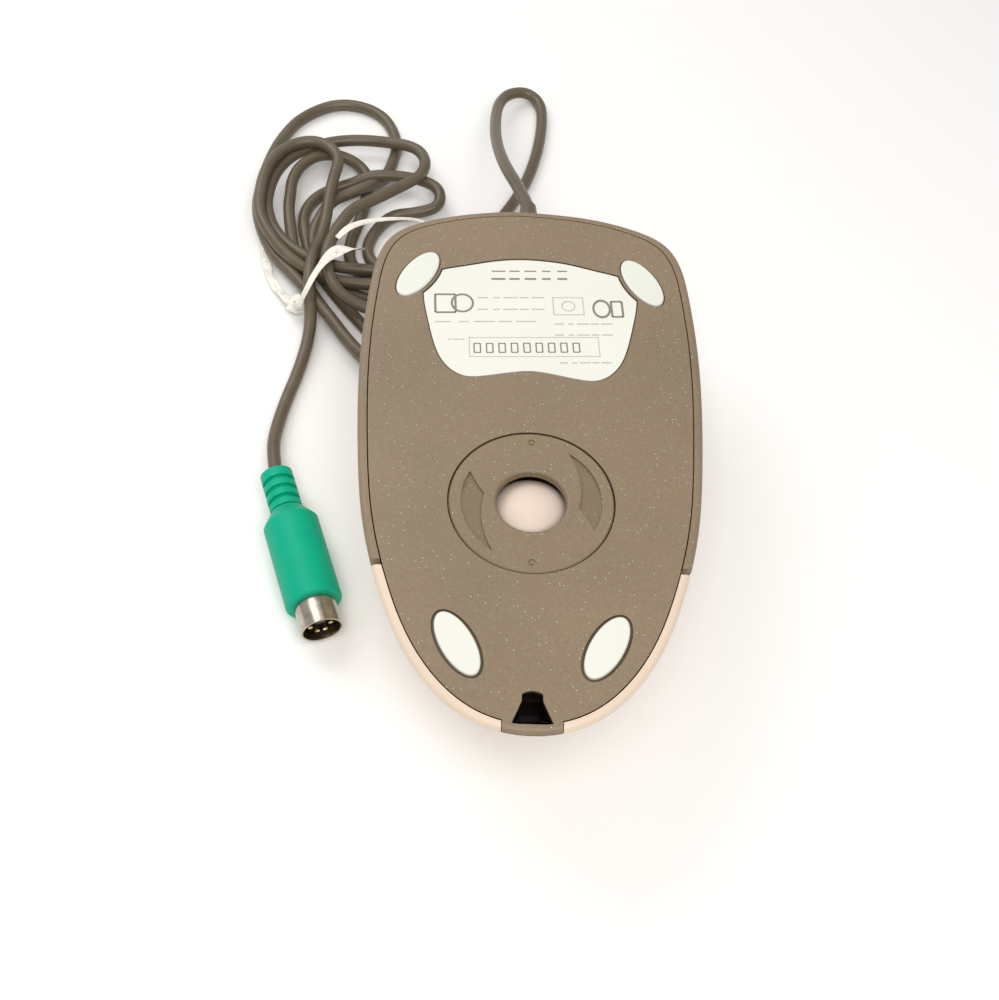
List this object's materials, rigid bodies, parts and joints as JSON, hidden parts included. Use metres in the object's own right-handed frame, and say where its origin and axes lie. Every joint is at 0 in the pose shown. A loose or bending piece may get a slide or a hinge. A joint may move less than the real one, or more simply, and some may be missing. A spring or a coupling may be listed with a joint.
{
  "type": "computer mouse",
  "caption": "Corded ball mouse lying on its back: ball under a turn-to-open retainer, two keys, click wheel, slip feet, tied cord and round plug.",
  "frame": {"origin": "on the floor under the middle of the body's length and width, without the cord", "axes": "+Z out of the underside, up as it lies on its back; +Y along the body to the cord end; +X to the right"},
  "size_m": [0.1087, 0.2134, 0.0369],
  "materials": {
    "taupe_plastic": "fine satin texture",
    "cream_plastic": "smooth satin",
    "foot_white": "smooth",
    "label_white": "paper film",
    "ball_rubber": "smooth",
    "steel": "plain",
    "black_plastic": "satin",
    "white_plastic": "satin",
    "tyre_rubber": "ribbed",
    "board_green": "solder mask",
    "component_dark": "moulded",
    "lens_clear": "tinted",
    "cord_taupe": "semi gloss",
    "plug_green": "semi gloss",
    "nickel": "bright",
    "brass": "bright",
    "tie_white": "paper"
  },
  "bodies": {
    "casing": {"base_shell": "taupe_plastic", "side_band": "taupe_plastic", "palm_cover": "cream_plastic", "label": "label_white", "x_lamp": "lens_clear", "x_sensor": "component_dark", "y_lamp": "lens_clear", "y_sensor": "component_dark", "circuit_board": "board_green", "left_switch": "component_dark", "right_switch": "component_dark", "wheel_switch": "component_dark", "controller_chip": "component_dark", "capacitor": "component_dark", "crystal": "nickel", "resistors": "cream_plastic", "cord_header": "white_plastic", "cord_boot": "cord_taupe", "cord_tube": "cord_taupe", "plug_lead": "cord_taupe", "cord_coil": "cord_taupe", "cord_tie": "tie_white", "plug_body": "plug_green", "plug_shell": "nickel", "plug_insulator": "black_plastic", "plug_pins": "brass", "front_left_foot": "foot_white", "front_right_foot": "foot_white", "rear_left_foot": "foot_white", "rear_right_foot": "foot_white", "casing_screws": "steel", "board_screws": "steel"},
    "left_key": {"left_button": "cream_plastic"},
    "right_key": {"right_button": "cream_plastic"},
    "retainer": {"ball_ring": "taupe_plastic"},
    "ball": {"ball_coat": "ball_rubber", "ball_core": "steel"},
    "x_shaft": {"x_roller": "black_plastic"},
    "y_shaft": {"y_roller": "black_plastic"},
    "idler_fork": {"idler_arm": "white_plastic"},
    "idler": {"idler_roller": "white_plastic"},
    "left_actuator": {"left_plunger": "white_plastic"},
    "right_actuator": {"right_plunger": "white_plastic"},
    "wheel_actuator": {"wheel_plunger": "white_plastic"},
    "wheel_fork": {"wheel_carrier": "black_plastic", "wheel_encoder": "component_dark"},
    "wheel": {"wheel_hub": "white_plastic", "wheel_tyre": "tyre_rubber"}
  },
  "joints": [
    {"name": "left_button_press", "type": "hinge", "parent": "casing", "child": "left_key", "pos_m": [-0.015, 0.01148, 0.006], "axis": [1, 0, 0], "range_deg": [0, 1.1], "stiffness_Nm_per_rad": 1.2, "springref_deg": -1.15},
    {"name": "right_button_press", "type": "hinge", "parent": "casing", "child": "right_key", "pos_m": [0.015, 0.01148, 0.006], "axis": [1, 0, 0], "range_deg": [0, 1.1], "stiffness_Nm_per_rad": 1.2, "springref_deg": -1.15},
    {"name": "left_switch_travel", "type": "slide", "parent": "casing", "child": "left_actuator", "axis": [0, 0, 1], "range_m": [0, 0.000578]},
    {"name": "right_switch_travel", "type": "slide", "parent": "casing", "child": "right_actuator", "axis": [0, 0, 1], "range_m": [0, 0.000578]},
    {"name": "wheel_press", "type": "hinge", "parent": "casing", "child": "wheel_fork", "pos_m": [0, 0.04219, 0.0189], "axis": [-1, 0, 0], "range_deg": [0, 2.2], "stiffness_Nm_per_rad": 0.4, "springref_deg": -2.86},
    {"name": "wheel_switch_travel", "type": "slide", "parent": "casing", "child": "wheel_actuator", "axis": [0, 0, 1], "range_m": [0, 0.000556]},
    {"name": "wheel_spin", "type": "hinge", "parent": "wheel_fork", "child": "wheel", "pos_m": [0, 0.02799, 0.0169], "axis": [1, 0, 0], "continuous": true},
    {"name": "retainer_turn", "type": "hinge", "parent": "casing", "child": "retainer", "pos_m": [0, -0.01535, 0.0365], "axis": [0, 0, 1], "range_deg": [0, 25]},
    {"name": "ball_roll", "type": "hinge", "parent": "casing", "child": "ball", "pos_m": [0, -0.01535, 0.025], "axis": [1, 0, 0], "continuous": true},
    {"name": "y_roller_spin", "type": "hinge", "parent": "casing", "child": "y_shaft", "pos_m": [0, -0.0032, 0.025], "axis": [1, 0, 0], "continuous": true},
    {"name": "x_roller_spin", "type": "hinge", "parent": "casing", "child": "x_shaft", "pos_m": [-0.01215, -0.01535, 0.025], "axis": [0, 1, 0], "continuous": true},
    {"name": "idler_swing", "type": "hinge", "parent": "casing", "child": "idler_fork", "pos_m": [0.0192, -0.0204, 0.025], "axis": [0, 0, 1], "range_deg": [0, 3], "stiffness_Nm_per_rad": 0.01, "springref_deg": -2.86},
    {"name": "idler_spin", "type": "hinge", "parent": "idler_fork", "child": "idler", "pos_m": [0.0093, -0.02465, 0.025], "axis": [0.7071, 0.7071, 0], "continuous": true}
  ],
  "couplings": [
    {"joint": "left_switch_travel", "follows": "left_button_press", "m_per_rad": 0.029512},
    {"joint": "right_switch_travel", "follows": "right_button_press", "m_per_rad": 0.029512},
    {"joint": "wheel_switch_travel", "follows": "wheel_press", "m_per_rad": 0.0142},
    {"joint": "y_roller_spin", "follows": "ball_roll", "ratio": -7}
  ]
}
